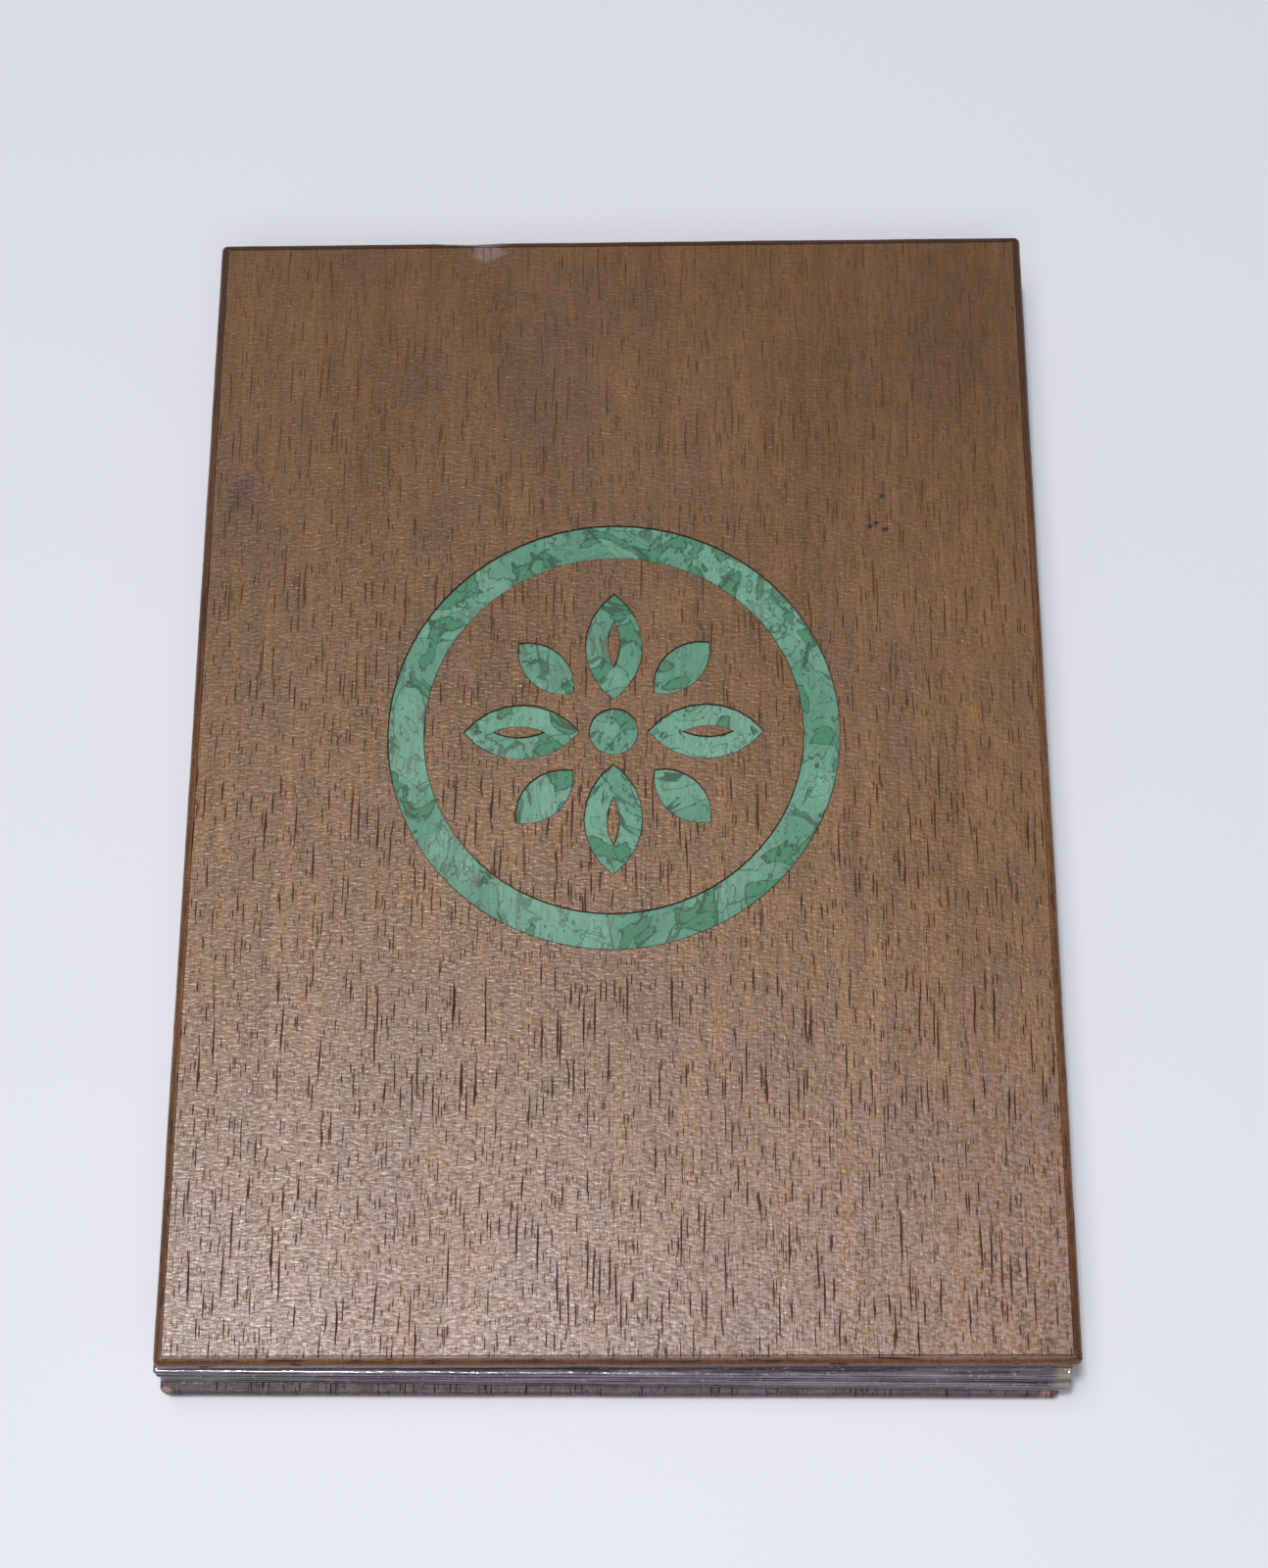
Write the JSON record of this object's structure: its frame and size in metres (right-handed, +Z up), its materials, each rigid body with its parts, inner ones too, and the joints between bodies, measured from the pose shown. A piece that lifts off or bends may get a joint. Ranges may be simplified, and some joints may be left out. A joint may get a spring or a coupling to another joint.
{
  "type": "wooden board folder",
  "caption": "Portrait folder with two wood-veneered cover boards, clear pocket leaves screw-bound at the far edge, a leather hinge and a green ring-and-petal inlay.",
  "frame": {"origin": "centre of the back board's underside, on the surface that it lies on", "axes": "+Z up through the closed folder, from the back board to the front cover; +Y from the reader to the bound edge; +X to the reader's right"},
  "size_m": [0.2262, 0.3141, 0.027],
  "materials": {
    "face_veneer": "open-pored brown veneer, satin lacquer, grain along Y",
    "inner_veneer": "open-pored brown veneer, satin lacquer, grain along Y",
    "lipping": "darker brown solid wood, eased edge, glossy lacquer",
    "core_ply": "plain plywood, unfinished",
    "inlay": "thin plate under a matt green patina with darker stains and tide lines",
    "vinyl": "smoke-clear glossy vinyl, seen edge on",
    "card": "plain blank card, matt",
    "leather": "dark brown, fine grain, matt",
    "steel": "bright nickel-plated screw post",
    "bar": "satin"
  },
  "bodies": {
    "back_cover": {"back_lipping": "lipping", "back_core": "core_ply", "back_face_veneer": "face_veneer", "back_inner_veneer": "inner_veneer", "hinge_back_flange": "leather", "leaf_1_margin": "vinyl", "leaf_2_margin": "vinyl", "leaf_3_margin": "vinyl", "leaf_4_margin": "vinyl", "leaf_5_margin": "vinyl", "leaf_6_margin": "vinyl", "binding_bar": "bar", "post_barrel_1": "steel", "post_barrel_2": "steel", "post_barrel_3": "steel", "post_screw_1": "steel", "post_screw_2": "steel", "post_screw_3": "steel"},
    "spine": {"hinge_spine": "leather"},
    "front_cover": {"front_lipping": "lipping", "front_core": "core_ply", "front_face_veneer": "face_veneer", "front_face_roundel": "face_veneer", "front_inner_veneer": "inner_veneer", "petal_island_1": "face_veneer", "petal_island_2": "face_veneer", "petal_island_3": "face_veneer", "petal_island_4": "face_veneer", "inlay_ring": "inlay", "inlay_hub": "inlay", "inlay_long_petal_1": "inlay", "inlay_long_petal_2": "inlay", "inlay_long_petal_3": "inlay", "inlay_long_petal_4": "inlay", "inlay_short_petal_1": "inlay", "inlay_short_petal_2": "inlay", "inlay_short_petal_3": "inlay", "inlay_short_petal_4": "inlay", "hinge_front_flange": "leather"},
    "leaf_1": {"leaf_1_sleeve": "vinyl", "leaf_1_card": "card"},
    "leaf_2": {"leaf_2_sleeve": "vinyl", "leaf_2_card": "card"},
    "leaf_3": {"leaf_3_sleeve": "vinyl", "leaf_3_card": "card"},
    "leaf_4": {"leaf_4_sleeve": "vinyl", "leaf_4_card": "card"},
    "leaf_5": {"leaf_5_sleeve": "vinyl", "leaf_5_card": "card"},
    "leaf_6": {"leaf_6_sleeve": "vinyl", "leaf_6_card": "card"}
  },
  "joints": [
    {"name": "spine_fold", "type": "hinge", "parent": "back_cover", "child": "spine", "pos_m": [0, 0.1552, 0.007], "axis": [-1, 0, 0], "range_deg": [0, 90]},
    {"name": "cover_fold", "type": "hinge", "parent": "spine", "child": "front_cover", "pos_m": [0, 0.1552, 0.02], "axis": [-1, 0, 0], "range_deg": [0, 90]},
    {"name": "leaf_1_turn", "type": "hinge", "parent": "back_cover", "child": "leaf_1", "pos_m": [0, 0.1255, 0.00783], "axis": [-1, 0, 0], "range_deg": [0, 65]},
    {"name": "leaf_2_turn", "type": "hinge", "parent": "back_cover", "child": "leaf_2", "pos_m": [0, 0.1277, 0.01002], "axis": [-1, 0, 0], "range_deg": [0, 80]},
    {"name": "leaf_3_turn", "type": "hinge", "parent": "back_cover", "child": "leaf_3", "pos_m": [0, 0.1299, 0.01222], "axis": [-1, 0, 0], "range_deg": [0, 95]},
    {"name": "leaf_4_turn", "type": "hinge", "parent": "back_cover", "child": "leaf_4", "pos_m": [0, 0.1321, 0.01443], "axis": [-1, 0, 0], "range_deg": [0, 110]},
    {"name": "leaf_5_turn", "type": "hinge", "parent": "back_cover", "child": "leaf_5", "pos_m": [0, 0.1343, 0.01663], "axis": [-1, 0, 0], "range_deg": [0, 125]},
    {"name": "leaf_6_turn", "type": "hinge", "parent": "back_cover", "child": "leaf_6", "pos_m": [0, 0.1365, 0.01883], "axis": [-1, 0, 0], "range_deg": [0, 140]}
  ],
  "couplings": [
    {"joint": "spine_fold", "follows": "cover_fold", "ratio": 1},
    {"joint": "leaf_1_turn", "follows": "cover_fold", "ratio": 0.72222},
    {"joint": "leaf_2_turn", "follows": "cover_fold", "ratio": 0.88889},
    {"joint": "leaf_3_turn", "follows": "cover_fold", "ratio": 1.0556},
    {"joint": "leaf_4_turn", "follows": "cover_fold", "ratio": 1.2222},
    {"joint": "leaf_5_turn", "follows": "cover_fold", "ratio": 1.3889},
    {"joint": "leaf_6_turn", "follows": "cover_fold", "ratio": 1.5556}
  ]
}
